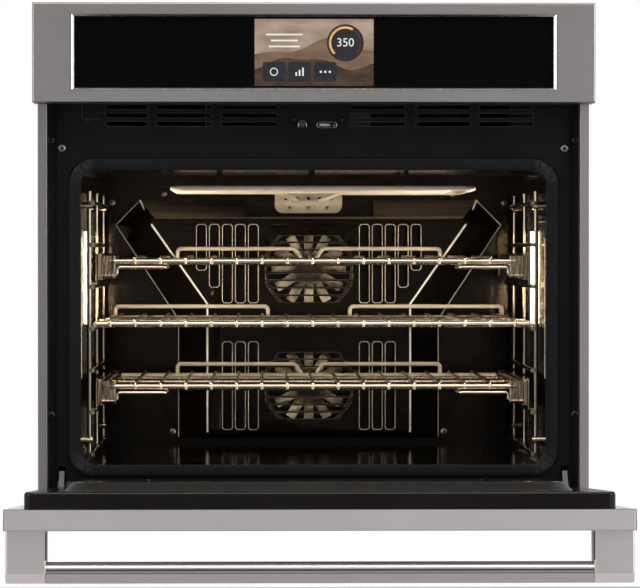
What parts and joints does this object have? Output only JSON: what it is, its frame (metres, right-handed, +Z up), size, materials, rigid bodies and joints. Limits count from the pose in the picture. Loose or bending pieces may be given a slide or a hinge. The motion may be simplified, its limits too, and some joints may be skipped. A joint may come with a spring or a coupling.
{
  "type": "wall oven",
  "caption": "Built-in electric wall oven with a drop-down door, sliding wire racks, convection cover and a glass control panel with a screen.",
  "frame": {"origin": "middle of the base pan's underside, the face that rests on the cabinet shelf", "axes": "+X to the right seen from the front, +Y to the back of the oven, +Z up"},
  "size_m": [0.756, 1.1492, 0.7318],
  "materials": {
    "base_pan": "zinc-coated sheet",
    "left_side_panel": "zinc-coated sheet",
    "right_side_panel": "zinc-coated sheet",
    "rear_panel": "zinc-coated sheet",
    "top_cover": "zinc-coated sheet",
    "bay_floor": "zinc-coated sheet",
    "cable_gland": "black",
    "front_frame": "satin black",
    "vent_panel": "satin black",
    "left_side_trim": "brushed along its length",
    "right_side_trim": "brushed along its length",
    "door_gasket": "charcoal woven sleeve",
    "cavity_liner": "glossy dark enamel with fine flecks",
    "insulation": "mineral wool",
    "convection_cover": "glossy dark enamel with fine flecks",
    "convection_elements": "dark heater sheath",
    "convection_motors": "motor steel",
    "broil_element": "pale heater sheath",
    "broil_hangers": "pale steel strap",
    "broil_terminal_plate": "steel",
    "bake_element": "dark heater sheath",
    "left_rack_support": "bright nickel wire",
    "right_rack_support": "bright nickel wire",
    "lamp_housings": "bare sheet",
    "lamp_bulbs": "clear halogen bulb",
    "lamp_lenses": "ribbed clear glass",
    "probe_jack": "bright",
    "control_panel_frame": "brushed from side to side",
    "control_glass": "opaque black glass",
    "display": "lit colour screen",
    "control_board": "green circuit board",
    "blower_housing": "zinc-coated sheet",
    "blower_motor": "motor steel",
    "blower_wheel": "plain",
    "latch_body": "zinc-coated sheet",
    "latch_hook": "bright",
    "door_switch_plunger": "black",
    "left_hinge_arm": "bare steel",
    "right_hinge_arm": "bare steel",
    "upper_slide_rails": "bright nickel",
    "lower_slide_rails": "bright nickel",
    "screws": "plain",
    "left_door_hinge": "bare steel",
    "right_door_hinge": "bare steel",
    "hinge_pins": "ground",
    "door_skin": "brushed from side to side",
    "door_outer_glass": "dark tinted glass",
    "door_inner_panel": "glossy black enamel",
    "door_inner_glass": "dark tinted glass",
    "door_insulation": "mineral wool",
    "handle_bar": "brushed along its length",
    "left_handle_cap": "brushed",
    "right_handle_cap": "brushed",
    "upper_rack": "bright nickel wire",
    "middle_rack": "bright nickel wire",
    "lower_rack": "bright nickel wire",
    "upper_slide_carriers": "bright steel",
    "lower_slide_carriers": "bright steel",
    "upper_fan": "pale sheet",
    "lower_fan": "pale sheet"
  },
  "bodies": {
    "chassis": {"base_pan": "base_pan", "left_side_panel": "left_side_panel", "right_side_panel": "right_side_panel", "rear_panel": "rear_panel", "top_cover": "top_cover", "bay_floor": "bay_floor", "cable_gland": "cable_gland", "front_frame": "front_frame", "vent_panel": "vent_panel", "left_side_trim": "left_side_trim", "right_side_trim": "right_side_trim", "door_gasket": "door_gasket", "cavity_liner": "cavity_liner", "insulation": "insulation", "convection_cover": "convection_cover", "convection_elements": "convection_elements", "convection_motors": "convection_motors", "broil_element": "broil_element", "broil_hangers": "broil_hangers", "broil_terminal_plate": "broil_terminal_plate", "bake_element": "bake_element", "left_rack_support": "left_rack_support", "right_rack_support": "right_rack_support", "lamp_housings": "lamp_housings", "lamp_bulbs": "lamp_bulbs", "lamp_lenses": "lamp_lenses", "probe_jack": "probe_jack", "control_panel_frame": "control_panel_frame", "control_glass": "control_glass", "display": "display", "control_board": "control_board", "blower_housing": "blower_housing", "blower_motor": "blower_motor", "latch_body": "latch_body", "left_hinge_arm": "left_hinge_arm", "right_hinge_arm": "right_hinge_arm", "upper_slide_rails": "upper_slide_rails", "lower_slide_rails": "lower_slide_rails", "screws": "screws"},
    "door": {"left_door_hinge": "left_door_hinge", "right_door_hinge": "right_door_hinge", "hinge_pins": "hinge_pins", "door_skin": "door_skin", "door_outer_glass": "door_outer_glass", "door_inner_panel": "door_inner_panel", "door_inner_glass": "door_inner_glass", "door_insulation": "door_insulation", "handle_bar": "handle_bar", "left_handle_cap": "left_handle_cap", "right_handle_cap": "right_handle_cap"},
    "upper_rack": {"upper_rack": "upper_rack"},
    "upper_slides": {"upper_slide_carriers": "upper_slide_carriers"},
    "middle_rack": {"middle_rack": "middle_rack"},
    "lower_rack": {"lower_rack": "lower_rack"},
    "lower_slides": {"lower_slide_carriers": "lower_slide_carriers"},
    "upper_fan": {"upper_fan": "upper_fan"},
    "lower_fan": {"lower_fan": "lower_fan"},
    "blower_wheel": {"blower_wheel": "blower_wheel"},
    "latch_hook": {"latch_hook": "latch_hook"},
    "door_switch_plunger": {"door_switch_plunger": "door_switch_plunger"}
  },
  "joints": [
    {"name": "door_hinge", "type": "hinge", "parent": "chassis", "child": "door", "pos_m": [0, -0.317, 0.044], "axis": [1, 0, 0], "range_deg": [-86.5, 0]},
    {"name": "upper_rack_slide", "type": "slide", "parent": "chassis", "child": "upper_rack", "axis": [0, -1, 0], "range_m": [0, 0.36]},
    {"name": "upper_carrier_slide", "type": "slide", "parent": "chassis", "child": "upper_slides", "axis": [0, -1, 0], "range_m": [0, 0.18]},
    {"name": "middle_rack_slide", "type": "slide", "parent": "chassis", "child": "middle_rack", "axis": [0, -1, 0], "range_m": [0, 0.3]},
    {"name": "lower_rack_slide", "type": "slide", "parent": "chassis", "child": "lower_rack", "axis": [0, -1, 0], "range_m": [0, 0.36]},
    {"name": "lower_carrier_slide", "type": "slide", "parent": "chassis", "child": "lower_slides", "axis": [0, -1, 0], "range_m": [0, 0.18]},
    {"name": "upper_fan_spin", "type": "hinge", "parent": "chassis", "child": "upper_fan", "pos_m": [0, 0.208, 0.34661], "axis": [0, 1, 0], "continuous": true},
    {"name": "lower_fan_spin", "type": "hinge", "parent": "chassis", "child": "lower_fan", "pos_m": [0, 0.208, 0.17099], "axis": [0, 1, 0], "continuous": true},
    {"name": "blower_spin", "type": "hinge", "parent": "chassis", "child": "blower_wheel", "pos_m": [0, -0.072, 0.5712], "axis": [1, 0, 0], "continuous": true},
    {"name": "latch_swing", "type": "hinge", "parent": "chassis", "child": "latch_hook", "pos_m": [0.03, -0.284, 0.545], "axis": [0, 0, 1], "range_deg": [0, 40]},
    {"name": "door_switch_press", "type": "slide", "parent": "chassis", "child": "door_switch_plunger", "axis": [0, 1, 0], "range_m": [0, 0.004], "stiffness_N_per_m": 300}
  ],
  "couplings": [
    {"joint": "upper_carrier_slide", "follows": "upper_rack_slide", "ratio": 0.5},
    {"joint": "lower_carrier_slide", "follows": "lower_rack_slide", "ratio": 0.5}
  ]
}
